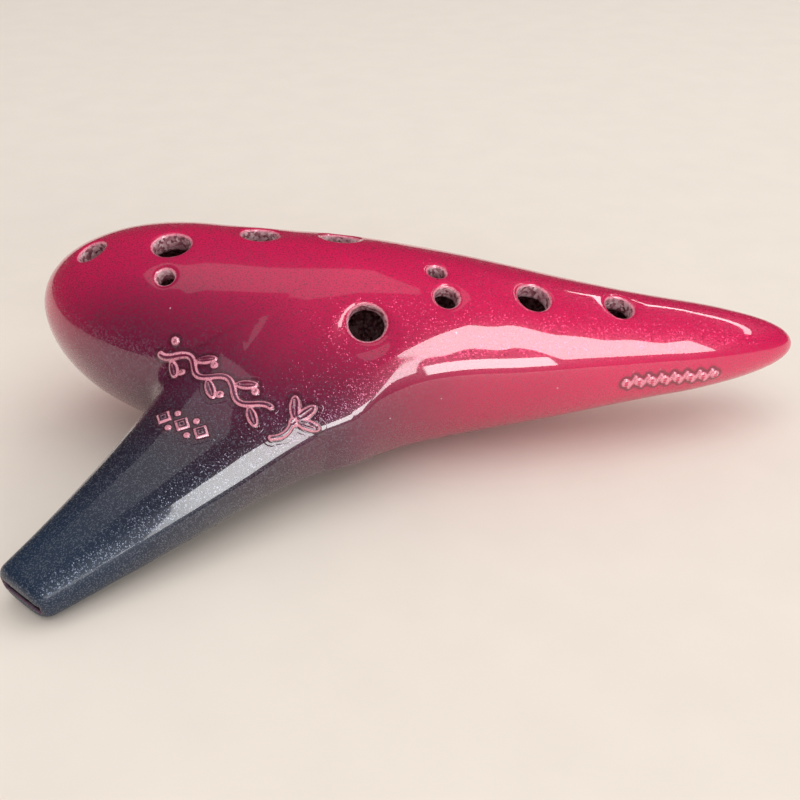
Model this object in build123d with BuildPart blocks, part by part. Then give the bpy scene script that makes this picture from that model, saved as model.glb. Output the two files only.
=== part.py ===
from build123d import *
from math import cos, pi, radians, sin, sqrt
import os

# A twelve-hole alto ocarina in glazed earthenware, all sizes in millimetres.
# The shell is drawn in its own frame: X from the round end to the tail, Y away from the player,
# Z up, with the two halves parting at Z = 0. "rest" then tips it as it lies on a table, on its
# belly and the lip of its mouthpiece, with Z = 0 on the table.

# How the shell lies at rest
rest_roll = 17.4
rest_pitch = 2.4
rest_shift = (-88.92, 15.6, 25.0)

# Body
body_length = 178.0
widest = 25.8
widest_end = 60.5
tail_width = 9.4
nose_length = 38.5
tail_round = 30.0
bend_nose = 15.6
bend_middle = -4.1
top_share = (0.76, 0.93)
bottom_share = (0.96, 0.88)
wall = 4.6
tail_solid = 12.0
body_stations = 15
pole_gap = 0.1
body_fullness = 0.552

# Neck and mouthpiece
tip = (4.5, -65.1, -0.6)
neck_yaw = 41.8
neck_rise = 3.2
neck_length = 74.0
neck_left = (6.5, 0.061, 0.0018)
neck_right = (6.6, 0.24, -0.0011)
neck_half_height = (4.85, 0.085, 0.0006)
neck_fullness = 0.70
neck_stations = 7
root_fillet = 7.0
root_from_lip = (40, 90)
root_shortest = 50
lip_fillet = 1.6

# Windway, window and labium, all measured along the neck from the lip
joint_at = 47.0
window_at = 54.0
windway_width = 10.4
windway_in = 2.3
windway_out = 1.7
windway_drop = -5.2
window_length = 6.2
window_width = 12.0
throat_height = 4.6
labium_end = 76.0
labium_drop = -21.0
edge_blunt = 0.3
windway_corner = (0.9, 0.7)

# Finger holes on top: along X, along Y, radius
finger_holes = {
    "left_little": (11.8, 17.3, 3.2),
    "left_ring": (30.4, 13.0, 4.1),
    "left_ring_sub": (29.4, 2.9, 1.9),
    "left_middle": (50.1, 18.1, 4.0),
    "left_index": (68.5, 18.2, 4.0),
    "right_index": (72.8, -10.6, 4.0),
    "right_middle_sub": (89.4, 3.9, 1.9),
    "right_middle": (90.9, -3.8, 2.6),
    "right_ring": (111.4, -1.2, 3.7),
    "right_little": (132.2, -0.6, 3.2),
}
thumb_holes = {
    "left_thumb": (36.0, 8.0, 4.6),
    "right_thumb": (108.0, 3.0, 4.4),
}
rim_break = 0.7

# Raised ornament
relief_height = 0.5
stroke = 1.2
ornament_reach = 13.0
vine_wave = 1.5
vine_pitch = 11.0
vine_half = 14
vine_leaf = (2.3, 1.0)
vine_leaf_turn = 35
vine_leaf_place = (1.5, 2.6)
berry = 0.75
berry_place = (-1.6, -2.4)
petal = (2.6, 1.1)
petal_reach = 3.0
petal_turns = (-50, 0, 50)
stalk_points = ((-0.5, 0), (-3.4, -0.9), (-6, 0.8))
bud = 0.9
bud_place = (-0.3, 0)
lozenge = 2.5
lozenge_pitch = 4.4
dot = 0.6
dot_aside = 1.9
bead = 0.95
bead_count = 8
bead_pitch = 3.3
bar = (3.6, 0.8)
bar_turn = 65
# Where each ornament lies in the shell's frame: its centre, the way it reads, the way it faces
ornaments = {
    "vine_relief": ((39.5, -21.7, 14.4), (21.6, -20.3, 3.0), (-0.15, -0.35, 0.92)),
    "sprig_relief": ((57.1, -33.2, 12.7), (9.9, 6.6, 2.8), (0.1, -0.5, 0.86)),
    "diamond_relief": ((33.6, -31.8, 11.9), (10.4, -6.2, 1.7), (-0.1, -0.1, 0.98)),
    "bead_relief": ((144.1, -13.3, 1.7), (25.2, 4.7, -1.7), (0.2, -0.96, 0.17)),
}

rest = Location(rest_shift, (rest_roll, rest_pitch, 0))


def full_width(x):
    # A straight flank as far as widest_end, then a raised cosine down to the tail
    share = min(max((x - widest_end) / (body_length - widest_end), 0), 1)
    return tail_width + (widest - tail_width) * 0.5 * (1 + cos(pi * share))


def end_rounding(x, start, end):
    # A quarter ellipse over the nose and another over the tail
    nose = min(max((start + nose_length - x) / nose_length, 0), 1)
    tail = min(max((x - end + tail_round) / tail_round, 0), 1)
    return sqrt(1 - nose**2) * sqrt(1 - tail**2)


def centre_line(x):
    # A parabola, so that the round end leans away from the player
    share = x / body_length
    return bend_nose * (1 - share) ** 2 + bend_middle * 2 * share * (1 - share)


def half_height(x, side):
    # Above (side 1) or below (side -1) the parting plane, as a share of the half width
    nose_share, tail_share = top_share if side > 0 else bottom_share
    share = x / body_length
    return full_width(x) * (nose_share * (1 - share) + tail_share * share)


def quarter_curves(corners, fullness):
    # One curve for each quarter, square to the axes where they meet
    for wide, high in corners:
        Bezier((wide, 0), (wide, fullness * high), (fullness * wide, high), (0, high))


def body_form(inset):
    # The teardrop, drawn in by "inset"; the far end of the tail stays solid
    start = inset
    end = body_length - (tail_solid if inset == wall else inset)
    with BuildPart() as form:
        for number in range(body_stations + 1):
            x = start + (end - start) * 0.5 * (1 - cos(pi * number / body_stations))
            x = min(max(x, start + pole_gap), end - pole_gap)
            shrink = end_rounding(x, start, end)
            wide = (full_width(x) - inset) * shrink
            top = (half_height(x, 1) - inset) * shrink
            bottom = (half_height(x, -1) - inset) * shrink
            middle = Plane(origin=(x, centre_line(x), 0), x_dir=(0, 1, 0), z_dir=(1, 0, 0))
            with BuildSketch(middle):
                with BuildLine():
                    quarter_curves(
                        ((wide, top), (-wide, top), (-wide, -bottom), (wide, -bottom)), body_fullness
                    )
                make_face()
        loft(clean=False)
    return form.part


def neck_plane(along, aside=0.0, above=0.0):
    # Across the neck: X to the player's left, Y up, Z from the lip towards the body
    yaw = radians(neck_yaw)
    rise = radians(neck_rise)
    forward = Vector(sin(yaw) * cos(rise), cos(yaw) * cos(rise), sin(rise))
    left = Vector(-cos(yaw), sin(yaw), 0)
    upward = forward.cross(left)
    origin = Vector(*tip) + forward * along + left * aside + upward * above
    return Plane(origin=origin, x_dir=left, z_dir=forward)


def neck_size(terms, along):
    # A second-order curve along the neck
    return terms[0] + terms[1] * along + terms[2] * along**2


def neck_form(grow):
    # The neck from the lip to inside the body, flaring as it goes
    with BuildPart() as form:
        for number in range(neck_stations):
            along = neck_length * number / (neck_stations - 1)
            left = neck_size(neck_left, along) + grow
            right = neck_size(neck_right, along) + grow
            high = neck_size(neck_half_height, along) + grow
            with BuildSketch(neck_plane(along)):
                with BuildLine():
                    quarter_curves(
                        ((left, high), (-right, high), (-right, -high), (left, -high)),
                        neck_fullness,
                    )
                make_face()
        loft(clean=False)
        lip = form.faces().sort_by(Axis.Y)[0]
        fillet(lip.edges(), lip_fillet + grow)
    return form.part


def whole_form(grow):
    # Body and neck as one outer skin, with a hollow fillet where they meet
    with BuildPart() as form:
        add(body_form(-grow))
        add(neck_form(grow), clean=False)
        meeting = form.edges().filter_by(lambda edge: is_root_edge(form, edge))
        fillet(meeting, root_fillet)
    return form.part


def is_root_edge(form, edge):
    # The long line where the neck's skin runs into the body's
    reach = (edge @ 0.5 - Vector(*tip)).length
    sides = [face for face in form.faces() if any(edge.is_same(other) for other in face.edges())]
    curved = all(face.geom_type != GeomType.PLANE for face in sides)
    nearest, furthest = root_from_lip
    return curved and len(sides) == 2 and nearest < reach < furthest and edge.length > root_shortest


def skin_point(x, y, side):
    # The point of the body's skin above or below (x, y), and the normal there
    wide = full_width(x) * end_rounding(x, 0, body_length)
    high = half_height(x, side) * end_rounding(x, 0, body_length)
    across = (y - centre_line(x)) / wide
    step = 0.5
    point = Vector(x, y, side * high * sqrt(1 - across**2))
    ahead = full_width(x + step) * end_rounding(x + step, 0, body_length)
    ahead_across = (y - centre_line(x + step)) / ahead
    ahead_high = half_height(x + step, side) * end_rounding(x + step, 0, body_length)
    ahead_z = side * ahead_high * sqrt(1 - ahead_across**2)
    slope_x = (ahead_z - point.Z) / step
    slope_y = -side * high * across / (wide * sqrt(1 - across**2))
    return point, Vector(-slope_x, -slope_y, 1) * side


def drill(holes, side):
    # Each hole square to the skin, its rim opened out by a short cone
    for x, y, radius in holes.values():
        point, normal = skin_point(x, y, side)
        with Locations(Plane(origin=point, z_dir=normal)):
            CounterSinkHole(radius, radius + rim_break, depth=3 * wall, counter_sink_angle=90)


os.makedirs("parts", exist_ok=True)
pieces = {}
outer = whole_form(0)
chamber = body_form(wall)

# Windway: a flat slot that sinks as it runs from the lip to the window
with BuildPart() as windway:
    with BuildSketch(neck_plane(-1)):
        RectangleRounded(windway_width, windway_in, windway_corner[0])
    with BuildSketch(neck_plane(window_at, above=windway_drop)):
        RectangleRounded(windway_width, windway_out, windway_corner[1])
    loft()

# Everything below the windway's ceiling between the window and the end of the labium
edge_level = windway_drop - windway_out / 2
with BuildPart() as voicing_cut:
    with BuildSketch(neck_plane(window_at, above=windway_drop + windway_out / 2)):
        with Locations((0, -neck_length / 2)):
            Rectangle(window_width, neck_length)
    extrude(amount=labium_end - window_at)
    with BuildSketch(neck_plane(window_at, above=edge_level + throat_height / 2)):
        Rectangle(window_width, throat_height)
    extrude(amount=labium_end - window_at)

# Labium: a wedge whose ramp climbs from the belly to a blunt edge level with the windway
edge_at = window_at + window_length
side_plane = Plane(origin=neck_plane(0).origin, x_dir=neck_plane(0).z_dir, z_dir=neck_plane(0).x_dir)
with BuildPart() as labium:
    with BuildSketch(side_plane):
        with BuildLine():
            Polyline(
                (edge_at, -edge_level),
                (edge_at, -edge_level + edge_blunt),
                (labium_end, -labium_drop),
                (labium_end, -edge_level),
                close=True,
            )
        make_face()
    extrude(amount=window_width / 2, both=True)
    add(outer, mode=Mode.INTERSECT)
    add(chamber, mode=Mode.SUBTRACT)
pieces["labium"] = labium.part

# The hollow form, before it is parted
with BuildPart() as hollow:
    add(outer)
    add(chamber, mode=Mode.SUBTRACT)
    add(windway.part, mode=Mode.SUBTRACT)
    add(voicing_cut.part, mode=Mode.SUBTRACT)

# Upper shell: ten finger holes
with BuildPart() as upper_shell:
    add(hollow.part)
    split(bisect_by=neck_plane(joint_at), keep=Keep.TOP)
    split(bisect_by=Plane.XY, keep=Keep.TOP)
    drill(finger_holes, 1)
pieces["upper_shell"] = upper_shell.part

# Lower shell: two thumb holes, the window and the labium's seat
with BuildPart() as lower_shell:
    add(hollow.part)
    split(bisect_by=neck_plane(joint_at), keep=Keep.TOP)
    split(bisect_by=Plane.XY, keep=Keep.BOTTOM)
    drill(thumb_holes, -1)
pieces["lower_shell"] = lower_shell.part

# Mouthpiece: roof and floor meet on the windway's middle plane
lip_plane = neck_plane(0)
sink = -windway_drop / window_at
windway_plane = Plane(
    origin=lip_plane.origin, x_dir=lip_plane.x_dir, z_dir=lip_plane.y_dir + lip_plane.z_dir * sink
)
for name, keep in (("mouthpiece_roof", Keep.TOP), ("mouthpiece_floor", Keep.BOTTOM)):
    with BuildPart() as half:
        add(hollow.part)
        split(bisect_by=neck_plane(joint_at), keep=Keep.BOTTOM)
        split(bisect_by=windway_plane, keep=keep)
    pieces[name] = half.part

# The thin layer over the skin that holds all the raised ornament
with BuildPart() as layer:
    add(whole_form(relief_height))
    add(outer, mode=Mode.SUBTRACT)


def raise_ornament(name, plane):
    # What of the drawn ornament lies in the layer, wherever the skin curves to
    with BuildPart() as ornament:
        with BuildSketch(plane):
            drawings[name]()
        extrude(amount=ornament_reach, both=True)
        add(layer.part, mode=Mode.INTERSECT)
    pieces[name] = ornament.part


def draw_vine():
    # A wavy stem with a leaf at the outside of each bend and a berry in each hollow
    places = range(-vine_half, vine_half + 1, 2)
    points = [(x, vine_wave * sin(2 * pi * x / vine_pitch)) for x in places]
    with BuildLine() as stem:
        Spline(*points)
    trace(stem.line, stroke)
    for number in range(-2, 3):
        x = number * vine_pitch / 2
        side = 1 if number % 2 else -1
        leaf_at = (x + vine_leaf_place[0], side * vine_leaf_place[1])
        with Locations(Location(leaf_at, side * vine_leaf_turn)):
            Ellipse(*vine_leaf)
        with Locations((x + berry_place[0], side * berry_place[1])):
            Circle(berry)


def draw_sprig():
    # Three petals on a curved stalk
    for turn in petal_turns:
        petal_at = (petal_reach * cos(radians(turn)), petal_reach * sin(radians(turn)))
        with Locations(Location(petal_at, turn)):
            Ellipse(*petal)
    with BuildLine() as stalk:
        ThreePointArc(*stalk_points)
    trace(stalk.line, stroke)
    with Locations(bud_place):
        Circle(bud)


def draw_diamonds():
    # Three lozenges with a dot between neighbours
    for number in range(-1, 2):
        with Locations(Location((number * lozenge_pitch, 0), 45)):
            Rectangle(lozenge, lozenge)
    for number in (-0.5, 0.5):
        for aside in (-dot_aside, dot_aside):
            with Locations((number * lozenge_pitch, aside)):
                Circle(dot)


def draw_beads():
    # A row of beads with a slanting bar between neighbours
    with GridLocations(bead_pitch, 1, bead_count, 1):
        Circle(bead)
    with GridLocations(bead_pitch, 1, bead_count - 1, 1):
        SlotOverall(*bar, rotation=bar_turn)


drawings = {
    "vine_relief": draw_vine,
    "sprig_relief": draw_sprig,
    "diamond_relief": draw_diamonds,
    "bead_relief": draw_beads,
}
for name, (origin, along, outward) in ornaments.items():
    raise_ornament(name, Plane(origin=origin, x_dir=along, z_dir=outward))

# Every finished piece is laid as it rests, and the lower shell is ground flat where it stands
for name, piece in pieces.items():
    with BuildPart() as laid:
        with Locations(rest):
            add(piece)
        if name == "lower_shell":
            split(bisect_by=Plane.XY, keep=Keep.TOP)
    laid.part.label = name
    export_step(laid.part, f"parts/{name}.step")
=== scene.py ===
from concurrent.futures import ThreadPoolExecutor
from functools import partial
from math import cos, pi, radians, sin

import bmesh
import bpy
import numpy as np
from mathutils import Matrix, Vector


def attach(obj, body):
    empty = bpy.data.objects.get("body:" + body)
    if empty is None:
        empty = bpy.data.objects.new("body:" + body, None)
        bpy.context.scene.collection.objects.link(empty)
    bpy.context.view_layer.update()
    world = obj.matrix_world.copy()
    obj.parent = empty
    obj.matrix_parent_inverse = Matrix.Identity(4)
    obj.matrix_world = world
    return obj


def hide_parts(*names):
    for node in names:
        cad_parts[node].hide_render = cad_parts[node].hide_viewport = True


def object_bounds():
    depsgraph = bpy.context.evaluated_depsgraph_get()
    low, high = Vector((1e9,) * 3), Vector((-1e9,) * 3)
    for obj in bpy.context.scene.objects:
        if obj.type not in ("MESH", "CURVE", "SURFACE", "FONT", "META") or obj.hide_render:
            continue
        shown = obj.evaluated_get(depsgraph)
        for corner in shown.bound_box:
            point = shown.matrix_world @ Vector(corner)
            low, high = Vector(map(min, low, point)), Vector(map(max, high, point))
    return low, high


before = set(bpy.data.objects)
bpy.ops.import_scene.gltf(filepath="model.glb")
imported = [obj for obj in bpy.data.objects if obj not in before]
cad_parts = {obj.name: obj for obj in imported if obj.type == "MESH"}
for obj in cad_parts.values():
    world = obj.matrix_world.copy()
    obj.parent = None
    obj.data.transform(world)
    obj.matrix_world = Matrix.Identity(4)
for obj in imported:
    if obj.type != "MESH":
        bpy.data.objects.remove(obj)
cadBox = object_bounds()
cadLow, cadHigh = (np.array(corner) for corner in cadBox)
mm = 0.001
print("frame loaded:", len(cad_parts), "nodes")

# The shell's own frame, in millimetres: X to the tail, Y away from the player, Z up,
# its two halves parting at Z = 0. It is tipped to lie on the table, as the CAD's shell is.
lie = {"roll": 17.4, "pitch": 2.4, "fromLow": (-0.025, 66.079, 25.003)}
rollTurn = Matrix.Rotation(radians(lie["roll"]), 3, "X")
pitchTurn = Matrix.Rotation(radians(lie["pitch"]), 3, "Y")
shellTurn = np.array(rollTurn @ pitchTurn)
shellPlace = cadLow / mm + np.array(lie["fromLow"])


fieldStep = 0.2  # how far apart the two readings of a slope are, in millimetres


def toRow(points):
    # from the shell's frame into the row's, in metres
    return (points @ shellTurn.T + shellPlace) * mm


def smoothStep(low, high, value):
    share = np.clip((value - low) / (high - low), 0, 1)
    return share * share * (3 - 2 * share)


def roundedMax(first, second, reach):
    # the larger of two, with a parabola over the corner between them
    overlap = np.maximum(reach - np.abs(first - second), 0)
    return np.maximum(first, second) + overlap**2 / (4 * reach)


def roundedMin(first, second, reach):
    return -roundedMax(-first, -second, reach)


# body
body = {
    "length": 178.0, "widest": 25.8, "widestEnd": 60.5, "tailWidth": 9.4,
    "nose": 38.5, "tailRound": 30.0, "bendNose": 15.6, "bendMiddle": -4.1,
    "topShare": (0.76, 0.93), "bottomShare": (0.96, 0.88), "wall": 4.6, "tailSolid": 12.0,
    "ripple": 0.035, "rippleLength": 9.0, "lowestLevel": 0.0025,
}


def bodyWidth(x):
    # level as far as widestEnd, then half a cosine wave down to the tail
    share = np.clip((x - body["widestEnd"]) / (body["length"] - body["widestEnd"]), 0, 1)
    return body["tailWidth"] + (body["widest"] - body["tailWidth"]) * 0.5 * (1 + np.cos(pi * share))


def bodyLevel(x, y, z, inset):
    # (y over width)^2 + (z over height)^2 + 1 - (1 - nose^2)(1 - tail^2), which is 1 on the skin
    share = np.clip(x / body["length"], 0, 1)
    middle = body["bendNose"] * (1 - share) ** 2 + body["bendMiddle"] * 2 * share * (1 - share)
    above = body["topShare"][0] * (1 - share) + body["topShare"][1] * share
    below = body["bottomShare"][0] * (1 - share) + body["bottomShare"][1] * share
    full = bodyWidth(x)
    wide, high = full - inset, full * np.where(z > 0, above, below) - inset
    end = body["length"] - (body["tailSolid"] if inset else 0.0)
    nose = np.maximum((inset + body["nose"] - x) / body["nose"], 0)
    tail = np.maximum((x - end + body["tailRound"]) / body["tailRound"], 0)
    across, upward = (y - middle) / wide, z / high
    level = across**2 + upward**2 + nose**2 + tail**2 - (nose * tail) ** 2
    return np.sqrt(np.maximum(level, body["lowestLevel"])), across / wide, upward / high


def bodyDistance(points, inset=0.0):
    # the root of the level, less 1, over the length of its slope
    x, y, z = points[..., 0], points[..., 1], points[..., 2]
    root, slopeY, slopeZ = bodyLevel(x, y, z, inset)
    ahead = bodyLevel(x + fieldStep, y, z, inset)[0] - bodyLevel(x - fieldStep, y, z, inset)[0]
    slope = np.stack([ahead / (2 * fieldStep), slopeY / root, slopeZ / root], -1)
    steep = np.maximum(np.linalg.norm(slope, axis=-1), 1e-6)
    return (root - 1) / steep, slope / steep[..., None]


def ripple(points):
    # three crossed sine waves: the glaze isn't quite even
    turn = points / body["rippleLength"]
    x, y, z = turn[..., 0], turn[..., 1], turn[..., 2]
    waves = np.sin(4.1 * x + 2.3 * y + 1.0) + np.sin(3.3 * y - 2.9 * z + 2.0 * x)
    return body["ripple"] / 3 * (waves + np.sin(5.2 * z + 1.7 * x - 2.6 * y + 0.5))


# neck: an axis that climbs from the lip into the body, with flanks that flare
neck = {
    "tip": (4.5, -65.1, -0.6), "yaw": 41.8, "rise": 3.2, "dip": 0.042, "end": 96.0, "power": 2.5,
    "left": (6.5, 0.061, 0.0018), "right": (6.6, 0.27, -0.00038), "high": (4.85, 0.085, 0.0002),
    "lipRound": 2.4, "rootLeft": 4.0, "rootTop": 34.0, "rootRight": 87.0, "rootReach": 26.0,
    "rootReachRound": 20.0, "rootLeast": 0.3, "leftFrom": (1, 14), "flankTurn": (0.1, 0.9),
    "sinkFrom": 62.6, "sink": 0.021, "endReach": 24.0, "leastSlope": 0.03,
}
neckTip = np.array(neck["tip"])
neckYaw, neckRise = radians(neck["yaw"]), radians(neck["rise"])
neckAlong = np.array((sin(neckYaw) * cos(neckRise), cos(neckYaw) * cos(neckRise), sin(neckRise)))
neckLeft = np.array((-cos(neckYaw), sin(neckYaw), 0.0))
neckUp = np.cross(neckAlong, neckLeft)


def neckPlace(points):
    # along the neck from the lip, to the player's left, and up
    offset = points - neckTip
    return offset @ neckAlong, offset @ neckLeft, offset @ neckUp


def neckCurve(terms, along):
    # a sum of powers of along, which levels off towards the neck's end
    along = roundedMin(np.maximum(along, 0), neck["end"], neck["endReach"])
    return sum(term * along**power for power, term in enumerate(terms))


def neckLevel(along, aside, up):
    # a superellipse: the power-th root of |aside over width|^power + |up over height|^power
    wide = np.where(aside > 0, neckCurve(neck["left"], along), neckCurve(neck["right"], along))
    high = neckCurve(neck["high"], along)
    up = up + neck["dip"] * along
    power = neck["power"]
    across, upward = np.abs(aside) / wide, np.abs(up) / high
    acrossLess, upwardLess = across * np.sqrt(across), upward * np.sqrt(upward)
    root = np.maximum(acrossLess * across + upwardLess * upward, 1e-3) ** (1 / power)
    scale = root ** (1 - power)
    return root, np.sign(aside) * acrossLess * scale / wide, np.sign(up) * upwardLess * scale / high


def neckDistance(points):
    along, aside, up = neckPlace(points)
    root, slopeAside, slopeUp = neckLevel(along, aside, up)
    ahead = neckLevel(along + fieldStep, aside, up)[0] - neckLevel(along - fieldStep, aside, up)[0]
    slopeAlong = ahead / (2 * fieldStep)
    steep = np.maximum(np.sqrt(slopeAlong**2 + slopeAside**2 + slopeUp**2), neck["leastSlope"])
    slope = (
        (slopeAlong / steep)[..., None] * neckAlong
        + (slopeAside / steep)[..., None] * neckLeft
        + (slopeUp / steep)[..., None] * neckUp
    )
    flank = smoothStep(*neck["flankTurn"], -slopeAside / steep)
    # past sinkFrom it narrows as a parabola, and ends inside the body
    past = np.maximum(along - neck["sinkFrom"], 0)
    slope = slope + (2 * neck["sink"] * past)[..., None] * neckAlong
    total = np.maximum(np.linalg.norm(slope, axis=-1), 1.0)
    away = ((root - 1) / steep + neck["sink"] * past**2) / total
    return roundedMax(away, -along, neck["lipRound"]), slope / total[..., None], aside, flank


def skinDistance(points):
    # Body and neck run together in a hollow, tight on the left and wide on the right. Where two
    # skins meet at an angle, a reach of 4 radii times (1 - cosine of half the angle) gives that radius.
    bodyAway, bodyNormal = bodyDistance(points)
    neckAway, neckNormal, aside, flank = neckDistance(points)
    right = 1 - smoothStep(*neck["leftFrom"], aside)
    radius = neck["rootTop"] + (neck["rootRight"] - neck["rootTop"]) * flank
    radius = neck["rootLeft"] + (radius - neck["rootLeft"]) * right
    together = np.sum(bodyNormal * neckNormal, axis=-1)
    reach = 4 * radius * (1 - np.sqrt(np.maximum(1 + together, 0) / 2))
    reach = roundedMin(reach, neck["rootReach"], neck["rootReachRound"])
    return roundedMin(bodyAway, neckAway, neck["rootLeast"] + reach) + ripple(points)


# holes: along X, along Y, radius, the depth of the finger's dish, and its radius
fingerHoles = {
    "leftLittle": (11.8, 17.3, 3.2, 0.3, 5.0), "leftRing": (30.4, 13.0, 4.1, 0.35, 6.0),
    "leftRingSub": (29.4, 2.9, 1.9, 0.12, 3.0), "leftMiddle": (50.1, 18.1, 4.0, 0.35, 6.0),
    "leftIndex": (68.5, 18.2, 4.0, 0.35, 6.0), "rightIndex": (72.8, -10.6, 4.0, 0.95, 6.8),
    "rightMiddleSub": (89.4, 3.9, 1.9, 0.12, 3.0), "rightMiddle": (90.9, -3.8, 2.6, 0.4, 4.4),
    "rightRing": (111.4, -1.2, 3.7, 0.4, 5.6), "rightLittle": (132.2, -0.6, 3.2, 0.4, 4.8),
}
thumbHoles = {"leftThumb": (36.0, 8.0, 4.6, 0.5, 7.0), "rightThumb": (108.0, 3.0, 4.4, 0.5, 6.6)}
holeStyle = {"rimRound": 1.5, "dishRound": 0.5, "through": 9.0, "start": 18.0, "nearby": 150}


def holePlaces():
    # each hole is square to the skin, on top or underneath
    places = []
    for holes, side in ((fingerHoles, 1), (thumbHoles, -1)):
        for x, y, radius, dish, dishRadius in holes.values():
            point = np.array([[x, y, side * holeStyle["start"]]])
            for turn in range(8):
                point[:, 2] -= skinDistance(point) / bodyDistance(point)[1][:, 2]
            ball = (dishRadius**2 + dish**2) / (2 * dish)
            places.append((point[0], bodyDistance(point)[1][0], radius, dish, ball))
    return places


holes = holePlaces()


def holeDistance(points):
    # to the nearest bore: a cylinder that stops short of the far wall
    nearest = np.full(points.shape[:-1], 90.0)
    for centre, outward, radius, dish, ball in holes:
        offset = points - centre
        along = offset @ outward
        away = np.sqrt(np.maximum(np.sum(offset**2, -1) - along**2, 0))
        nearest = np.minimum(nearest, np.maximum(away - radius, np.abs(along) - holeStyle["through"]))
    return nearest


def dishedSkin(points):
    # a shallow ball is taken out of the skin round each hole
    skin = skinDistance(points)
    for centre, outward, radius, dish, ball in holes:
        offset = points - centre
        near = np.sum(offset**2, -1) < holeStyle["nearby"]
        cup = ball - np.linalg.norm(offset - outward * (ball - dish), axis=-1)
        skin = np.where(near, roundedMax(skin, cup, holeStyle["dishRound"]), skin)
    return skin


# windway, window and labium, measured along the neck
voice = {
    "wide": 5.2, "lipHigh": 1.15, "endHigh": 0.85, "drop": -5.2, "windowAt": 54.0,
    "windowWide": 6.0, "throat": 4.6, "end": 76.0, "edgeRound": 0.35,
    "edgeAt": 60.2, "edgeBlunt": 0.3, "rampDrop": -21.0,
}
edgeLevel = voice["drop"] - voice["endHigh"]


def windwayDistance(points):
    # a slot that sinks towards the window
    along, aside, up = neckPlace(points)
    share = np.clip(along / voice["windowAt"], 0, 1)
    slotHigh = voice["lipHigh"] * (1 - share) + voice["endHigh"] * share
    slot = np.maximum(np.abs(aside) - voice["wide"], np.abs(up - voice["drop"] * share) - slotHigh)
    return np.maximum(slot, along - voice["windowAt"] - 1)


def windowDistance(points):
    # everything below the throat's ceiling, between the window and the labium's end
    along, aside, up = neckPlace(points)
    sides = np.maximum(np.abs(aside) - voice["windowWide"], voice["windowAt"] - along)
    return np.maximum(np.maximum(sides, along - voice["end"]), up - edgeLevel - voice["throat"])


def labiumDistance(points):
    # a wedge: flat above, with a ramp below that climbs to a blunt edge
    along, aside, up = neckPlace(points)
    run, fall = voice["end"] - voice["edgeAt"], voice["rampDrop"] - edgeLevel + voice["edgeBlunt"]
    length = np.hypot(run, fall)
    ramp = (fall * (along - voice["edgeAt"]) - run * (up - edgeLevel + voice["edgeBlunt"])) / length
    wedge = roundedMax(ramp, up - edgeLevel, 0.2)
    wedge = roundedMax(wedge, voice["edgeAt"] - along, 0.2)
    wedge = np.maximum(wedge, along - voice["end"] - 0.1)
    wedge = np.maximum(wedge, np.abs(aside) - voice["windowWide"] - 0.1)
    wedge = roundedMax(wedge, skinDistance(points), 0.3)
    return roundedMax(wedge, -bodyDistance(points, body["wall"])[0], 0.3)


def rowHeight(points):
    return points @ shellTurn[2] + shellPlace[2]


def clayDistance(points):
    # the dished skin, ground flat where it stands, less chamber, holes, windway and window
    solid = roundedMax(dishedSkin(points), -rowHeight(points), 0.3)
    solid = roundedMax(solid, -bodyDistance(points, body["wall"])[0], 0.6)
    solid = roundedMax(solid, -holeDistance(points), holeStyle["rimRound"])
    solid = roundedMax(solid, -windwayDistance(points), voice["edgeRound"])
    return roundedMax(solid, -windowDistance(points), voice["edgeRound"])


# from a field to a surface
workers = ThreadPoolExecutor(4)


def inChunks(field, points, chunk=40000):
    # the field at a long list of points, a chunk at a time
    parts = [points[start:start + chunk] for start in range(0, len(points), chunk)]
    return np.concatenate(list(workers.map(field, parts)))


fourWays = np.array(((1, 1, 1), (1, -1, -1), (-1, 1, -1), (-1, -1, 1))) / np.sqrt(3)


def slopeOf(field, points, reach):
    # value and slope from the corners of a small tetrahedron
    values = np.stack([field(points + way * reach) for way in fourWays], -1)
    return values.mean(-1), values @ fourWays * (0.75 / reach)


def pulledToSurface(field, points):
    # three of Newton's steps along the slope
    for turn in range(3):
        value, slope = slopeOf(field, points, 0.03)
        steep = np.maximum(np.sum(slope**2, -1), 0.05)
        points = points - np.clip(value / steep, -0.4, 0.4)[:, None] * slope
    return points


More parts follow.
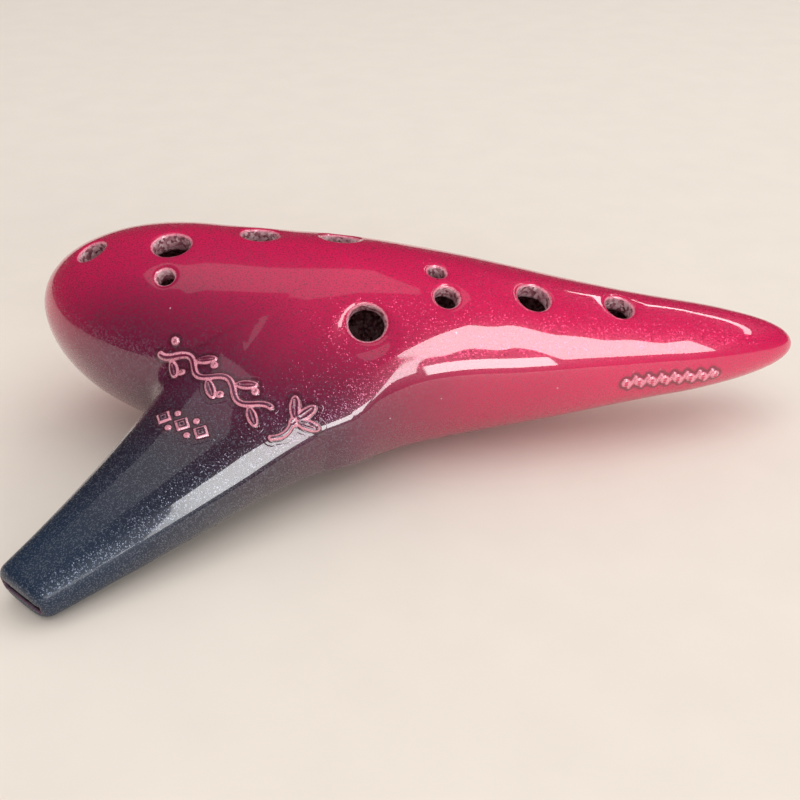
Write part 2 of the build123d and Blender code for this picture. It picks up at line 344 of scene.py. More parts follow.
def surfaceNet(field, low, high, step):
    # One point in each grid cell that the surface crosses, at the mean of its edges' crossings,
    # and one face round each grid edge that it crosses. Only blocks near the surface are sampled.
    block = 4
    shape = np.ceil((np.array(high) - low) / step / block).astype(int)
    middles = np.stack(np.meshgrid(*[np.arange(count) for count in shape], indexing="ij"), -1)
    middles = middles.reshape(-1, 3)
    rough = inChunks(field, low + step * (middles * block + (block - 1) / 2))
    near = np.abs(rough) < step * block * 1.25
    values = np.where(rough[:, None] < 0, -1.0, 1.0) * np.ones(block**3)
    corner = np.stack(np.meshgrid(*[np.arange(block)] * 3, indexing="ij"), -1).reshape(-1, 3)
    fine = (middles[near][:, None] * block + corner[None]).reshape(-1, 3)
    values[near] = inChunks(field, low + step * fine).reshape(-1, block**3)
    values = values.reshape(*shape, block, block, block).transpose(0, 3, 1, 4, 2, 5)
    values = values.reshape(shape * block)

    inside = values < 0
    size = np.array(values.shape) - 1
    part = [slice(0, -1), slice(1, None)]
    corners = [(a, b, c) for a in (0, 1) for b in (0, 1) for c in (0, 1)]
    filled = sum(inside[part[a], part[b], part[c]].astype(np.int8) for a, b, c in corners)
    active = (filled > 0) & (filled < 8)
    number = np.full(size, -1, np.int64)
    number[active] = np.arange(active.sum())
    cells = np.argwhere(active)
    total, count, faces = np.zeros((len(cells), 3)), np.zeros(len(cells)), []
    for axis in range(3):
        first, second = (axis + 1) % 3, (axis + 2) % 3
        for a, b in ((0, 0), (0, 1), (1, 0), (1, 1)):
            start = cells.copy()
            start[:, first] += a
            start[:, second] += b
            stop = start.copy()
            stop[:, axis] += 1
            low0, high0 = values[tuple(start.T)], values[tuple(stop.T)]
            crossed = (low0 < 0) != (high0 < 0)
            share = np.where(crossed, low0 / np.where(crossed, low0 - high0, 1), 0)
            point = start.astype(float)
            point[:, axis] += share
            total += point * crossed[:, None]
            count += crossed
        lower = np.take(inside, range(size[axis]), axis)
        upper = np.take(inside, range(1, size[axis] + 1), axis)
        edges = np.argwhere(lower != upper)
        inner = np.all((edges[:, (first, second)] > 0), -1)
        inner &= (edges[:, first] < size[first]) & (edges[:, second] < size[second])
        edges = edges[inner]
        around = []
        for a, b in ((0, 0), (-1, 0), (-1, -1), (0, -1)):
            cell = edges.copy()
            cell[:, first] += a
            cell[:, second] += b
            around.append(number[tuple(cell.T)])
        quads = np.stack(around, -1)
        faces.append(np.where(lower[tuple(edges.T)][:, None], quads, quads[:, ::-1]))
    points = low + step * total / count[:, None]
    return inChunks(partial(pulledToSurface, field), points), np.concatenate(faces)


gridStep = 0.56
clayPoints, clayFaces = surfaceNet(
    clayDistance, np.array((-2.0, -72.0, -27.0)), (180.0, 37.0, 23.0), gridStep
)
print("clay surface:", len(clayPoints), "points")


sprayFan = {"left": (0.12, 0.008), "rightFrom": 5, "right": 0.45}
clayNoting = {"normalReach": 0.08, "groundBelow": 0.06, "hollowReach": 1.4, "hollow": (0.02, 0.16)}


def sprayReach(points):
    # distance from the dark spray's source: along the neck, plus more on the left, less on the right
    along, aside, up = neckPlace(points)
    left, right = np.maximum(aside, 0), np.minimum(aside + sprayFan["rightFrom"], 0)
    return along + sprayFan["left"][0] * left + sprayFan["left"][1] * left**2 + sprayFan["right"] * right


def clayNotes(points):
    # for the finishes: normal, spray, distance from a cut edge (minus in the cut), and hollowness, the
    # mask for painted shade
    slope = slopeOf(clayDistance, points, clayNoting["normalReach"])[1]
    normal = slope / np.linalg.norm(slope, axis=-1, keepdims=True)
    skin = dishedSkin(points)
    opening = np.minimum(holeDistance(points), windowDistance(points))
    opening = np.maximum(np.minimum(opening, windwayDistance(points)), 0)
    reach = np.where(skin > -1.0, opening + np.minimum(skin, 0), skin)
    reach = np.where(rowHeight(points) < clayNoting["groundBelow"], -1.0, reach)
    around = slopeOf(skinDistance, points, clayNoting["hollowReach"])[0] - skinDistance(points)
    # the hollower the skin, the more painted shade is laid on it
    hollow = smoothStep(*clayNoting["hollow"], -around)
    return np.concatenate([normal, np.stack([sprayReach(points), reach, hollow], -1)], -1)


clayNote = inChunks(clayNotes, clayPoints)
print("clay notes made")


def newMesh(name, points, faces):
    # points and faces of four corners, straight from arrays
    mesh = bpy.data.meshes.new(name)
    mesh.vertices.add(len(points))
    mesh.vertices.foreach_set("co", np.ascontiguousarray(points, np.float32).ravel())
    mesh.loops.add(faces.size)
    mesh.loops.foreach_set("vertex_index", faces.ravel().astype(np.int32))
    mesh.polygons.add(len(faces))
    mesh.polygons.foreach_set("loop_start", np.arange(0, faces.size, 4, dtype=np.int32))
    mesh.update(calc_edges=True)
    return mesh


def noteOn(mesh, name, values, kind="FLOAT"):
    layer = mesh.attributes.new(name, kind, "POINT")
    field = "vector" if kind == "FLOAT_VECTOR" else "value"
    layer.data.foreach_set(field, np.ascontiguousarray(values, np.float32).ravel())


def showMesh(name, mesh, nodeNames, materials):
    piece = bpy.data.objects.new(name, mesh)
    bpy.context.scene.collection.objects.link(piece)
    for material in materials:
        mesh.materials.append(material)
    mesh.polygons.foreach_set("use_smooth", np.ones(len(mesh.polygons), bool))
    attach(piece, "root")
    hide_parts(*nodeNames)
    return piece


def fromShell(point, direction):
    # a plane's point and normal, turned into the row
    place = toRow(np.array([point], float))[0]
    return Vector(place), Vector(shellTurn @ np.array(direction, float))


joint = {"at": 47.0}
jointPlane = fromShell(neckTip + neckAlong * joint["at"], neckAlong)
partingPlane = fromShell((0, 0, 0), (0, 0, 1))
windwayPlane = fromShell(neckTip, neckUp - neckAlong * voice["drop"] / voice["windowAt"])


def keptSide(bm, plane, side):
    # keeps one side of a plane and closes the cut face
    place, normal = plane
    geometry = bm.verts[:] + bm.edges[:] + bm.faces[:]
    above = side > 0
    bmesh.ops.bisect_plane(
        bm, geom=geometry, dist=1e-8, plane_co=place, plane_no=normal,
        clear_inner=above, clear_outer=not above,
    )
    rim = [edge for edge in bm.edges if edge.is_boundary]
    made = bmesh.ops.triangle_fill(bm, use_beauty=True, edges=rim, normal=-normal * side)
    caps = [face for face in made["geom"] if isinstance(face, bmesh.types.BMFace)]
    for face in caps:
        face.normal_update()
        face.material_index = 1
        if face.normal.dot(normal) * side > 0:
            face.normal_flip()
    return bm


def cutPieces():
    # the hollow form is parted as the clay pieces are
    whole = newMesh("clay", np.clip(toRow(clayPoints), cadLow, cadHigh), clayFaces)
    noteOn(whole, "clayNormal", clayNote[:, :3] @ shellTurn.T, "FLOAT_VECTOR")
    for column, name in ((3, "spray"), (4, "reach"), (5, "hollow")):
        noteOn(whole, name, clayNote[:, column])
    bmWhole = bmesh.new()
    bmWhole.from_mesh(whole)
    made = {}
    for names, side, plane in (
        (("upper_shell", "lower_shell"), 1, partingPlane),
        (("mouthpiece_roof", "mouthpiece_floor"), -1, windwayPlane),
    ):
        half = keptSide(bmWhole.copy(), jointPlane, side)
        for name, way in zip(names, (1, -1)):
            bm = keptSide(half.copy(), plane, way)
            mesh = bpy.data.meshes.new(name)
            bm.to_mesh(mesh)
            bm.free()
            made[name] = mesh
        half.free()
    bmWhole.free()
    return made


def setNormals(mesh):
    # the field's own normals on the clay, and flat ones on the cut faces
    count = len(mesh.loops)
    corner, flat = np.empty(count, np.int32), np.empty(len(mesh.polygons) * 3, np.float32)
    mesh.loops.foreach_get("vertex_index", corner)
    mesh.polygons.foreach_get("normal", flat)
    size, cap = np.empty(len(mesh.polygons), np.int32), np.empty(len(mesh.polygons), np.int32)
    mesh.polygons.foreach_get("loop_total", size)
    mesh.polygons.foreach_get("material_index", cap)
    kept = np.empty(len(mesh.vertices) * 3, np.float32)
    mesh.attributes["clayNormal"].data.foreach_get("vector", kept)
    kept = kept.reshape(-1, 3)[corner]
    flat = np.repeat(flat.reshape(-1, 3), size, 0)
    normals = np.where(np.repeat(cap, size)[:, None] == 1, flat, kept)
    normals /= np.maximum(np.linalg.norm(normals, axis=-1, keepdims=True), 1e-6)
    mesh.attributes.remove(mesh.attributes["clayNormal"])
    mesh.normals_split_custom_set(normals)


# raised ornament, drawn flat in millimetres: minus inside a stroke, plus outside
def ellipse(x, y, place, turn, long, short):
    # distance to an ellipse, from its level and the level's slope
    c, s = cos(radians(turn)), sin(radians(turn))
    u, v = (x - place[0]) * c + (y - place[1]) * s, (y - place[1]) * c - (x - place[0]) * s
    level = np.sqrt((u / long) ** 2 + (v / short) ** 2) + 1e-6
    slope = np.sqrt((u / long**2) ** 2 + (v / short**2) ** 2) + 1e-6
    vein = np.where(np.abs(u) < long * 0.7, np.abs(v), 9.0)
    return (level - 1) * level / slope, vein


def union(shapes):
    # the nearest shape's distance, and the nearest vein's
    distance, vein = shapes[0]
    for other, otherVein in shapes[1:]:
        distance, vein = roundedMin(distance, other, 0.5), np.minimum(vein, otherVein)
    return distance, vein


def vineDrawing(x, y):
    # a wavy stem with a leaf outside each bend and a berry in each hollow
    wave, pitch = 1.5, 11.0
    held = np.clip(x, -14, 14)
    slope = wave * 2 * pi / pitch * np.cos(2 * pi * held / pitch)
    rise = (y - wave * np.sin(2 * pi * held / pitch)) / np.sqrt(1 + slope**2)
    shapes = [(np.hypot(rise, x - held) - 0.6, np.full_like(x, 9.0))]
    for number in range(-2, 3):
        middle, side = number * pitch / 2, (1 if number % 2 else -1)
        shapes.append(ellipse(x, y, (middle + 1.5, side * 2.6), side * 35, 2.3, 1.0))
        shapes.append(ellipse(x, y, (middle - 1.6, -side * 2.4), 0, 0.75, 0.75))
    return union(shapes)


def sprigDrawing(x, y):
    # three petals on a curved stalk
    shapes = []
    for turn in (-50, 0, 50):
        place = (3.0 * cos(radians(turn)), 3.0 * sin(radians(turn)))
        shapes.append(ellipse(x, y, place, turn, 2.6, 1.1))
    held = np.clip(x, -6, -0.5)
    arc = 0.13 * (held + 3.3) ** 2 - 0.95
    shapes.append((np.hypot(y - arc, x - held) - 0.6, np.full_like(x, 9.0)))
    shapes.append(ellipse(x, y, (-0.3, 0), 0, 0.9, 0.9))
    return union(shapes)


def diamondDrawing(x, y):
    # three lozenges with dots between neighbours
    shapes = []
    for number in (-1, 0, 1):
        away = (np.abs(x - number * 4.4) + np.abs(y)) / np.sqrt(2)
        shapes.append((away - 1.25, np.abs(away - 0.45) + 0.05))
    for number in (-0.5, 0.5):
        for aside in (-1.9, 1.9):
            shapes.append(ellipse(x, y, (number * 4.4, aside), 0, 0.6, 0.6))
    return union(shapes)


def beadDrawing(x, y):
    # a row of beads with a slanting bar between neighbours
    shapes = []
    for number in range(8):
        shapes.append(ellipse(x, y, ((number - 3.5) * 3.3, 0), 0, 0.95, 0.95))
    c, s = cos(radians(65)), sin(radians(65))
    for number in range(7):
        u = np.clip((x - (number - 3) * 3.3) * c + y * s, -1.4, 1.4)
        away = np.hypot(x - (number - 3) * 3.3 - u * c, y - u * s) - 0.4
        shapes.append((away, np.full_like(x, 9.0)))
    return union(shapes)


reliefs = {
    "vine_relief": {
        "drawing": vineDrawing, "half": (17.0, 6.6), "centre": (39.5, -21.7, 14.4),
        "along": (21.6, -20.3, 3.0), "outward": (-0.15, -0.35, 0.92),
    },
    "sprig_relief": {
        "drawing": sprigDrawing, "half": (8.6, 6.4), "centre": (57.1, -33.2, 12.7),
        "along": (9.9, 6.6, 2.8), "outward": (0.1, -0.5, 0.86),
    },
    "diamond_relief": {
        "drawing": diamondDrawing, "half": (8.6, 4.6), "centre": (33.6, -31.8, 11.9),
        "along": (10.4, -6.2, 1.7), "outward": (-0.1, -0.1, 0.98),
    },
    "bead_relief": {
        "drawing": beadDrawing, "half": (14.8, 4.0), "centre": (144.1, -13.3, 1.7),
        "along": (25.2, 4.7, -1.7), "outward": (0.2, -0.96, 0.17),
    },
}
reliefForm = {
    "height": 0.5, "edge": (0.3, -0.42), "vein": 0.16, "veinWide": 0.22, "film": 0.03,
    "filmReach": (1.1, 1.9), "sunk": 0.2, "bottom": 0.9, "step": 0.15,
}


def reliefPiece(name):
    # a sheet laid on the skin, raised under the drawing and sunk below the skin round it
    style = reliefs[name]
    step = reliefForm["step"] * 1
    outward = np.array(style["outward"]) / np.linalg.norm(style["outward"])
    along = np.array(style["along"]) - outward * np.dot(style["along"], outward)
    along /= np.linalg.norm(along)
    aside = np.cross(outward, along)
    u = np.arange(-style["half"][0], style["half"][0] + step / 2, step)
    v = np.arange(-style["half"][1], style["half"][1] + step / 2, step)
    u, v = np.meshgrid(u, v, indexing="ij")
    away, vein = style["drawing"](u, v)
    points = np.array(style["centre"]) + u[..., None] * along + v[..., None] * aside
    for turn in range(14):
        gap = skinDistance(points)
        points = points - np.clip(gap, -2, 2)[..., None] * outward
    normal = slopeOf(skinDistance, points, 0.3)[1]
    normal /= np.linalg.norm(normal, axis=-1, keepdims=True)
    raised = 1 - smoothStep(reliefForm["edge"][1], reliefForm["edge"][0], away)
    groove = reliefForm["vein"] * np.exp(-((vein / reliefForm["veinWide"]) ** 2))
    film = 1 - smoothStep(*reliefForm["filmReach"], away)
    height = reliefForm["film"] * film - reliefForm["sunk"] * (1 - film)
    height = height + raised * (reliefForm["height"] - reliefForm["film"] - groove)
    topSheet = points + normal * height[..., None]
    lowSheet = points - normal * reliefForm["bottom"]
    cellAway = (away[1:, 1:] + away[:-1, 1:] + away[1:, :-1] + away[:-1, :-1]) / 4
    landed = (np.abs(skinDistance(points)) < 0.05) & (normal @ outward > 0.2)
    keep = (cellAway < reliefForm["filmReach"][1] + 0.3) & landed[1:, 1:] & landed[:-1, :-1]

    rows, columns = away.shape
    index = np.arange(rows * columns).reshape(rows, columns)
    corners = np.stack([index[:-1, :-1], index[1:, :-1], index[1:, 1:], index[:-1, 1:]], -1)
    faces = [corners[keep], corners[keep][:, ::-1] + rows * columns]
    padded = np.pad(keep, 1)
    sides = ((0, 1), (1, 2), (2, 3), (3, 0))
    shifts = ((0, -1), (1, 0), (0, 1), (-1, 0))
    for (a, b), (du, dv) in zip(sides, shifts):
        beside = padded[1 + du:1 + du + rows - 1, 1 + dv:1 + dv + columns - 1]
        edge = corners[keep & ~beside]
        low = edge + rows * columns
        faces.append(np.stack([edge[:, b], edge[:, a], low[:, a], low[:, b]], -1))
    faces = np.concatenate(faces)
    used, compact = np.unique(faces, return_inverse=True)
    shell = np.concatenate([topSheet.reshape(-1, 3), lowSheet.reshape(-1, 3)])[used]
    # pale along each relief's edge and veins: partly glaze running thin over the edge, partly a painted
    # highlight
    thinAndHighlight = np.exp(-(((away + 0.12) / 0.24) ** 2)) + 0.5 * np.exp(-((vein / 0.3) ** 2)) * raised
    # painted shade: a dark ring round the relief's foot
    paintedFootShade = np.exp(-(((away - 0.5) / 0.4) ** 2))
    notes = np.stack([thinAndHighlight, paintedFootShade], -1).reshape(-1, 2)
    notes = np.concatenate([notes, notes * 0])[used]
    mesh = newMesh(name, np.clip(toRow(shell), cadLow, cadHigh), compact.reshape(faces.shape))
    noteOn(mesh, "spray", sprayReach(shell))
    noteOn(mesh, "reach", np.full(len(shell), 9.0))
    noteOn(mesh, "thinAndHighlight", np.clip(notes[:, 0], 0, 1))
    noteOn(mesh, "paintedFootShade", notes[:, 1])
    return mesh


# finishes
def newGroup(name, inputs, outputs):
    # a shader group with named sockets: {name: (kind, value)} in, {name: kind} out
    tree = bpy.data.node_groups.new(name, "ShaderNodeTree")
    for label, (kind, value) in inputs.items():
        socket = tree.interface.new_socket(label, in_out="INPUT", socket_type="NodeSocket" + kind)
        socket.default_value = value
    for label, kind in outputs.items():
        tree.interface.new_socket(label, in_out="OUTPUT", socket_type="NodeSocket" + kind)
    return tree, tree.nodes.new("NodeGroupInput").outputs, tree.nodes.new("NodeGroupOutput").inputs


def add(tree, kind, settings=None, **sockets):
    # one node: its settings, then its inputs by name or number, as values or as links
    node = tree.nodes.new("ShaderNode" + kind)
    for label, value in (settings or {}).items():
        setattr(node, label, value)
    for label, value in sockets.items():
        place = int(label[1:]) if label[1:].isdigit() else label.replace("_", " ")
        target = node.inputs[place]
        if isinstance(value, bpy.types.NodeSocket):
            tree.links.new(value, target)
        else:
            target.default_value = value
    return node


def math(tree, operation, first, second=0.0, clamp=False):
    node = add(tree, "Math", {"operation": operation, "use_clamp": clamp}, i0=first, i1=second)
    return node.outputs[0]


def step(tree, value, low, high):
    # 0 below low, 1 above high, smooth between
    node = add(
        tree, "MapRange", {"interpolation_type": "SMOOTHSTEP"},
        Value=value, From_Min=low, From_Max=high,
    )
    return node.outputs[0]


def blendColors(tree, share, first, second):
    node = add(tree, "Mix", {"data_type": "RGBA"}, i0=share, i6=first, i7=second)
    return node.outputs[2]


def ramp(tree, value, stops):
    node = add(tree, "ValToRGB", None, Fac=value)
    elements = node.color_ramp.elements
    elements[0].position, elements[0].color = stops[0][0], (*stops[0][1], 1)
    elements[1].position, elements[1].color = stops[-1][0], (*stops[-1][1], 1)
    for place, color in stops[1:-1]:
        elements.new(place).color = (*color, 1)
    return node.outputs[0]


def objectPlace(tree):
    return add(tree, "TexCoord").outputs["Object"]


def noise(tree, scale, detail=2.0):
    return add(tree, "TexNoise", None, Vector=objectPlace(tree), Scale=scale, Detail=detail).outputs[0]


def sprayGroup():
    # crimson over most of the shell, sprayed through maroon to blue-black at the lip
    tree, given, result = newGroup(
        "sprayedColor", {"Spray": ("Float", 90.0), "Drift": ("Float", 7.0), "Grain": ("Float", 5.0)},
        {"Color": "Color", "Dark": "Float", "Satin": "Float"},
    )
    cloud = math(tree, "SUBTRACT", noise(tree, 55.0), 0.5)
    dots = math(tree, "SUBTRACT", noise(tree, 1900.0, 1.0), 0.5)
    drift = math(tree, "MULTIPLY", cloud, given["Drift"])
    grain = math(tree, "MULTIPLY", dots, given["Grain"])
    reach = math(tree, "ADD", given["Spray"], math(tree, "ADD", drift, grain))
    share = math(tree, "DIVIDE", reach, 110.0)
    color = ramp(tree, share, (
        (0.10, (0.012, 0.025, 0.052)), (0.30, (0.016, 0.014, 0.030)), (0.42, (0.035, 0.007, 0.022)),
        (0.52, (0.090, 0.004, 0.032)), (0.60, (0.21, 0.003, 0.040)), (0.72, (0.45, 0.002, 0.063)),
        (0.88, (0.64, 0.001, 0.080)),
    ))
    tree.links.new(color, result["Color"])
    tree.links.new(math(tree, "SUBTRACT", 1.0, step(tree, reach, 45.0, 80.0)), result["Dark"])
    tree.links.new(math(tree, "SUBTRACT", 1.0, step(tree, reach, 8.0, 36.0)), result["Satin"])
    return tree


def flakeGroup():
    # pearl flakes: small cells, each leaning its own way
    tree, given, result = newGroup(
        "pearlFlake", {"Scale": ("Float", 5200.0), "Lean": ("Float", 0.40), "Share": ("Float", 0.24)},
        {"Normal": "Vector", "Flake": "Float", "Tone": "Float"},
    )
    cells = add(tree, "TexVoronoi", None, Vector=objectPlace(tree), Scale=given["Scale"])
    random = cells.outputs["Color"]
    centred = add(tree, "VectorMath", {"operation": "SUBTRACT"}, i0=random, i1=(0.5, 0.5, 0.5))
    tone = add(tree, "SeparateColor", None, Color=random)
    chosen = math(tree, "LESS_THAN", tone.outputs[2], given["Share"])
    lean = math(tree, "MULTIPLY", chosen, given["Lean"])
    leaning = add(tree, "VectorMath", {"operation": "SCALE"}, i0=centred.outputs[0], Scale=lean)
    upright = add(tree, "NewGeometry").outputs["Normal"]
    total = add(tree, "VectorMath", {"operation": "ADD"}, i0=upright, i1=leaning.outputs[0])
    even = add(tree, "VectorMath", {"operation": "NORMALIZE"}, i0=total.outputs[0])
    tree.links.new(even.outputs[0], result["Normal"])
    tree.links.new(chosen, result["Flake"])
    tree.links.new(tone.outputs[0], result["Tone"])
    return tree


def edgeGroup():
    # where the glaze runs thin over an edge, with a painted highlight on the reliefs' edges, and where
    # it stops inside a cut
    tree, given, result = newGroup(
        "glazeEdge", {"Reach": ("Float", 9.0), "Thin": ("Float", 0.0), "Width": ("Float", 0.55)},
        {"Thin": "Float", "Bare": "Float"},
    )
    ragged = math(tree, "MULTIPLY", math(tree, "SUBTRACT", noise(tree, 900.0, 3.0), 0.5), 0.5)
    reach = math(tree, "ADD", given["Reach"], ragged)
    outer = math(tree, "SUBTRACT", 1.0, step(tree, reach, 0.05, given["Width"]))
    bare = math(tree, "SUBTRACT", 1.0, step(tree, reach, -0.5, -0.3))
    # on the reliefs the pale edge is partly glaze running thin and partly a painted highlight
    brokenAndHighlight = step(tree, math(tree, "ADD", given["Thin"], ragged), 0.25, 0.75)
    tree.links.new(math(tree, "MAXIMUM", outer, brokenAndHighlight), result["Thin"])
    tree.links.new(bare, result["Bare"])
    return tree


def gritGroup():
    # unglazed clay: grains of three tones, with pits
    tree, given, result = newGroup(
        "clayGrit", {"Scale": ("Float", 1500.0), "Depth": ("Float", 1.0)},
        {"Color": "Color", "Height": "Float"},
    )
    grains = add(tree, "TexVoronoi", None, Vector=objectPlace(tree), Scale=given["Scale"])
    tone = add(tree, "SeparateColor", None, Color=grains.outputs["Color"])
    soft = noise(tree, 420.0, 4.0)
    grainy = math(tree, "MULTIPLY", tone.outputs[0], 0.6)
    mixed = math(tree, "ADD", grainy, math(tree, "MULTIPLY", soft, 0.4))
    color = ramp(tree, mixed, (
        (0.1, (0.10, 0.02, 0.03)), (0.35, (0.30, 0.10, 0.13)), (0.6, (0.55, 0.30, 0.34)),
        (0.9, (0.78, 0.60, 0.62)),
    ))
    tree.links.new(color, result["Color"])
    tree.links.new(math(tree, "MULTIPLY", mixed, given["Depth"]), result["Height"])
    return tree


def speckGroup():
    # dust under the glaze: a few pale specks and dark pinholes
    tree, given, result = newGroup(
        "glazeSpecks", {"Scale": ("Float", 260.0), "Share": ("Float", 0.05)},
        {"Pale": "Float", "Pit": "Float"},
    )
    cells = add(tree, "TexVoronoi", None, Vector=objectPlace(tree), Scale=given["Scale"])
    tone = add(tree, "SeparateColor", None, Color=cells.outputs["Color"])
    dot = math(tree, "SUBTRACT", 1.0, step(tree, cells.outputs["Distance"], 0.03, 0.07))
    pale = math(tree, "MULTIPLY", dot, math(tree, "LESS_THAN", tone.outputs[0], given["Share"]))
    pit = math(tree, "MULTIPLY", dot, math(tree, "LESS_THAN", tone.outputs[1], given["Share"]))
    tree.links.new(pale, result["Pale"])
    tree.links.new(pit, result["Pit"])
    return tree


groups = {
    "spray": sprayGroup(), "flake": flakeGroup(), "edge": edgeGroup(),
    "grit": gritGroup(), "specks": speckGroup(),
}


def place(tree, name, **sockets):
    node = add(tree, "Group")
    node.node_tree = groups[name]
    for label, value in sockets.items():
        if isinstance(value, bpy.types.NodeSocket):
            tree.links.new(value, node.inputs[label])
        else:
            node.inputs[label].default_value = value
    return node.outputs


def note(tree, name):
    return add(tree, "Attribute", {"attribute_name": name}).outputs["Fac"]


def shaderTree(name):
    material = bpy.data.materials.new(name)
    material.use_nodes = True
    tree = material.node_tree
    tree.nodes.clear()
    shader = add(tree, "BsdfPrincipled")
    tree.links.new(shader.outputs[0], add(tree, "OutputMaterial").inputs[0])
    return material, tree, shader


glaze = {
    "coatIor": 1.65, "coatRoughness": 0.035, "underGloss": 0.3, "roughness": 0.30, "satinRough": 0.08,
    "flakeSmooth": 0.08, "bareRough": 0.5, "satinCoat": 0.9, "flakeMetal": 0.5,
    "pearl": (0.80, 0.55, 0.78), "darkPearl": (0.55, 0.6, 0.75), "glint": 0.07, "darkGlint": 0.10,
    # the pale thin-glaze colour is partly a painted highlight on the reliefs
    "thinAndHighlightColor": (0.90, 0.36, 0.46), "thinAndHighlightShare": 0.8, "satinRim": 0.85, "thinWidth": 0.55,
    # painted shade: the dark colour laid in hollows and round the reliefs, and the near-black colour in
    # the windway
    "paintedShadeColor": (0.05, 0.002, 0.012), "paintedShadeShare": 0.75, "slotShadeColor": (0.02, 0.012, 0.018),
    "paleSpeck": (0.9, 0.6, 0.7), "paleShare": 0.7, "pit": (0.05, 0.0, 0.01), "pitShare": 0.8,
}
grain = {"strength": 0.6, "depth": 0.0004, "roughness": 0.85, "bisqueScale": 1300.0}


def covered(tree, color, share, strength, cover):
    # a colour with another over it, as far as share times strength
    amount = math(tree, "MULTIPLY", share, strength)
    return blendColors(tree, amount, color, cover)


def opaque(name):
    return (*glaze[name], 1)


def glazeMaterial(name):
    # sprayed colour with pearl flakes, painted shade in hollows, pale where it runs thin with a painted
    # highlight on the reliefs, bare in the cuts with painted shade in the windway
    material, tree, shader = shaderTree(name)
    link = tree.links.new
    spray = place(tree, "spray", Spray=note(tree, "spray"))
    edge = place(
        tree, "edge", Reach=note(tree, "reach"), Thin=note(tree, "thinAndHighlight"), Width=glaze["thinWidth"]
    )
    flake = place(tree, "flake")
    grit = place(tree, "grit")
    specks = place(tree, "specks")
    # painted shade: near-black laid over the colour in hollows and round the reliefs' foot
    paintedShade = math(tree, "MAXIMUM", note(tree, "paintedFootShade"), note(tree, "hollow"))
    color = covered(tree, spray["Color"], paintedShade, glaze["paintedShadeShare"], opaque("paintedShadeColor"))
    color = covered(tree, color, specks["Pale"], glaze["paleShare"], opaque("paleSpeck"))
    color = covered(tree, color, specks["Pit"], glaze["pitShare"], opaque("pit"))
    pearl = blendColors(tree, spray["Dark"], opaque("pearl"), opaque("darkPearl"))
    darkGlint = math(tree, "MULTIPLY", spray["Dark"], glaze["darkGlint"])
    glint = math(tree, "ADD", glaze["glint"], darkGlint)
    color = covered(tree, color, flake["Flake"], glint, pearl)
    plainRim = math(tree, "SUBTRACT", 1.0, math(tree, "MULTIPLY", spray["Satin"], glaze["satinRim"]))
    # pale over edges where the glaze runs thin; on the reliefs partly a painted highlight
    thinAndHighlight = math(tree, "MULTIPLY", edge["Thin"], plainRim)
    color = covered(tree, color, thinAndHighlight, glaze["thinAndHighlightShare"], opaque("thinAndHighlightColor"))
    # near the lip the clay in the cuts is painted near-black: painted shade in the windway
    clay = blendColors(tree, spray["Satin"], grit["Color"], opaque("slotShadeColor"))
    link(blendColors(tree, edge["Bare"], color, clay), shader.inputs["Base Color"])
    glazed = math(tree, "SUBTRACT", 1.0, edge["Bare"])
    metal = math(tree, "MULTIPLY", glazed, glaze["flakeMetal"])
    link(math(tree, "MULTIPLY", flake["Flake"], metal), shader.inputs["Metallic"])
    satinRough = math(tree, "MULTIPLY", spray["Satin"], glaze["satinRough"])
    rough = math(tree, "ADD", glaze["roughness"], satinRough)
    rough = math(tree, "SUBTRACT", rough, math(tree, "MULTIPLY", flake["Flake"], glaze["flakeSmooth"]))
    rough = math(tree, "ADD", rough, math(tree, "MULTIPLY", edge["Bare"], glaze["bareRough"]))
    link(rough, shader.inputs["Roughness"])
    coat = math(tree, "SUBTRACT", 1.0, math(tree, "MULTIPLY", spray["Satin"], glaze["satinCoat"]))
    link(math(tree, "MULTIPLY", coat, glazed), shader.inputs["Coat Weight"])
    height = math(tree, "MULTIPLY", grit["Height"], edge["Bare"])
    bump = add(
        tree, "Bump", None, Strength=grain["strength"], Distance=grain["depth"],
        Height=height, Normal=flake["Normal"],
    )
    link(bump.outputs[0], shader.inputs["Normal"])
    shader.inputs["Specular IOR Level"].default_value = glaze["underGloss"]
    shader.inputs["Coat Roughness"].default_value = glaze["coatRoughness"]
    shader.inputs["Coat IOR"].default_value = glaze["coatIor"]
    return material


def bisqueMaterial(name):
    # unglazed clay
    material, tree, shader = shaderTree(name)
    grit = place(tree, "grit", Scale=grain["bisqueScale"])
    tree.links.new(grit["Color"], shader.inputs["Base Color"])
    bump = add(
        tree, "Bump", None, Strength=grain["strength"], Distance=grain["depth"], Height=grit["Height"]
    )
    tree.links.new(bump.outputs[0], shader.inputs["Normal"])
    shader.inputs["Roughness"].default_value = grain["roughness"]
    return material


crimsonGlaze = glazeMaterial("crimsonGlaze")
darkGlaze = glazeMaterial("darkGlaze")
reliefGlaze = glazeMaterial("reliefGlaze")
bisque = bisqueMaterial("bisque")
print("finishes made")

# the pieces
for nodeName, mesh in cutPieces().items():
    shell = nodeName.endswith("shell")
    skin = crimsonGlaze if shell else darkGlaze
    showMesh("show_" + nodeName, mesh, [nodeName], [skin, bisque])
    setNormals(mesh)
print("clay pieces made")

labiumStep = 0.4
labiumPoints, labiumFaces = surfaceNet(
    labiumDistance, np.array((34.0, -28.0, -22.0)), (66.0, 2.0, 0.0), labiumStep
)
labiumMesh = newMesh("labium", np.clip(toRow(labiumPoints), cadLow, cadHigh), labiumFaces)
showMesh("show_labium", labiumMesh, ["labium"], [bisque])
for nodeName in reliefs:
    showMesh("show_" + nodeName, reliefPiece(nodeName), [nodeName], [reliefGlaze])
print("labium and reliefs made")

# floor, light and camera
paper = {"half": 1.6, "color": (0.80, 0.735, 0.665)}


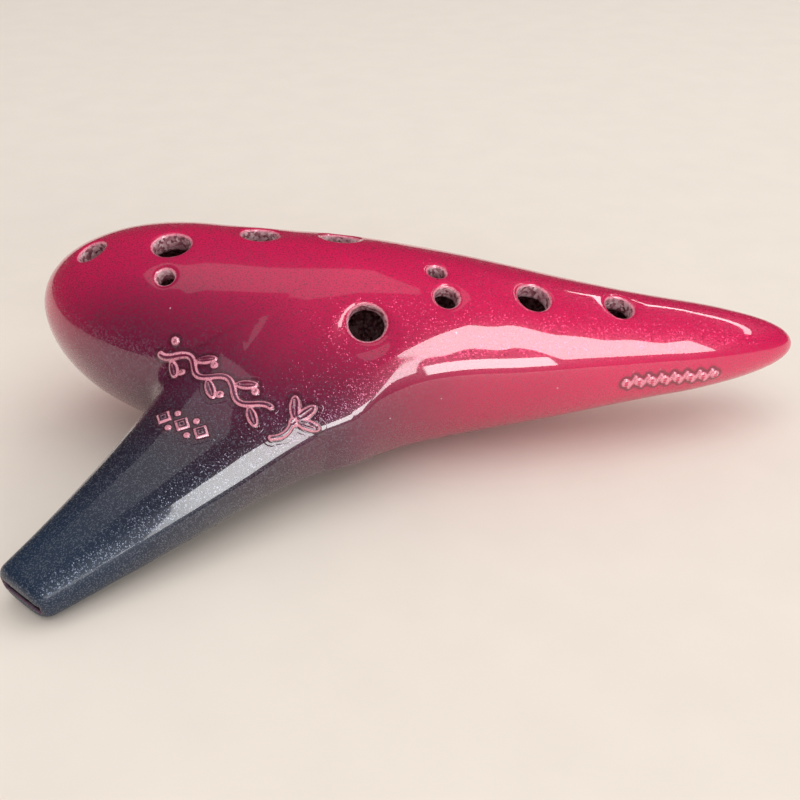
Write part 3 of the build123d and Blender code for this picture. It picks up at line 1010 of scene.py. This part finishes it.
def paperFloor():
    mesh = bpy.data.meshes.new("floor")
    reach = paper["half"]
    corners = [(-reach, -reach, 0), (reach, -reach, 0), (reach, reach, 0), (-reach, reach, 0)]
    mesh.from_pydata(corners, [], [(0, 1, 2, 3)])
    floor = bpy.data.objects.new("floor", mesh)
    bpy.context.scene.collection.objects.link(floor)
    material, tree, shader = shaderTree("palePaper")
    darker = tuple(0.97 * part for part in paper["color"])
    tone = ramp(tree, noise(tree, 60.0, 5.0), ((0.3, darker), (0.7, paper["color"])))
    tree.links.new(tone, shader.inputs["Base Color"])
    shader.inputs["Roughness"].default_value = 0.9
    shader.inputs["Specular IOR Level"].default_value = 0.2
    mesh.materials.append(material)


paperFloor()

# a seen light shows in the glaze, and a lighting one lights matt surfaces
lights = {
    "window": {
        "azimuth": 22, "elevation": 13, "away": 1.1, "size": (0.55, 0.24), "radiance": 9.5,
        "seen": True, "lighting": True,
    },
    "side": {
        "azimuth": 45, "elevation": 36, "away": 1.1, "size": (0.27, 0.90), "radiance": 7.0,
        "seen": True, "lighting": False,
    },
    "overhead": {
        "azimuth": 40, "elevation": 80, "away": 1.3, "size": (1.8, 1.6), "radiance": 0.75,
        "seen": False, "lighting": True,
    },
    "strip": {
        "azimuth": 114, "elevation": 38, "away": 0.9, "size": (0.80, 0.04), "radiance": 7.0,
        "seen": True, "lighting": True,
    },
    "ceiling": {
        "azimuth": -155, "elevation": 80, "away": 1.2, "size": (0.9, 0.5), "radiance": 0.5,
        "seen": True, "lighting": True,
    },
}
aim = Vector((0.0, 0.012, 0.02))
for name, style in lights.items():
    azimuth, elevation = radians(style["azimuth"]), radians(style["elevation"])
    back = Vector((sin(azimuth) * cos(elevation), -cos(azimuth) * cos(elevation), sin(elevation)))
    lamp = bpy.data.lights.new(name, "AREA")
    lamp.shape = "RECTANGLE"
    lamp.size, lamp.size_y = style["size"]
    lamp.energy = style["radiance"] * pi * style["size"][0] * style["size"][1]
    light = bpy.data.objects.new(name, lamp)
    bpy.context.scene.collection.objects.link(light)
    light.location = aim + back * style["away"]
    light.rotation_euler = back.to_track_quat("Z", "Y").to_euler()
    light.visible_glossy = style["seen"]
    light.visible_diffuse = style["lighting"]

room = {"fill": 0.70, "shine": 0.04}
world = bpy.data.worlds.new("room")
bpy.context.scene.world = world
world.use_nodes = True
background = world.node_tree.nodes["Background"]
background.inputs["Color"].default_value = (1.0, 0.96, 0.93, 1)
# the room is bright to matt surfaces and dim in the glaze's reflections
path = add(world.node_tree, "LightPath")
strength = add(
    world.node_tree, "MapRange", None, Value=path.outputs["Is Diffuse Ray"],
    To_Min=room["shine"], To_Max=room["fill"],
)
world.node_tree.links.new(strength.outputs[0], background.inputs["Strength"])

camera = {"place": (-30.72, -217.13, 146.11), "aim": (-8.64, -3.21, 18.63), "roll": 0.69, "lens": 51.13}
eye, target = Vector(camera["place"]) * mm, Vector(camera["aim"]) * mm
lens = bpy.data.cameras.new("camera")
lens.lens, lens.sensor_width = camera["lens"], 36.0
cameraObject = bpy.data.objects.new("camera", lens)
bpy.context.scene.collection.objects.link(cameraObject)
rolled = Matrix.Rotation(radians(camera["roll"]), 3, "Z")
turn = (eye - target).to_track_quat("Z", "Y").to_matrix() @ rolled
cameraObject.location = eye
cameraObject.rotation_euler = turn.to_euler()
lens.clip_start, lens.clip_end = 0.01, 20
bpy.context.scene.camera = cameraObject
bpy.context.scene.view_settings.view_transform = "Standard"
print("stage, light and camera made")
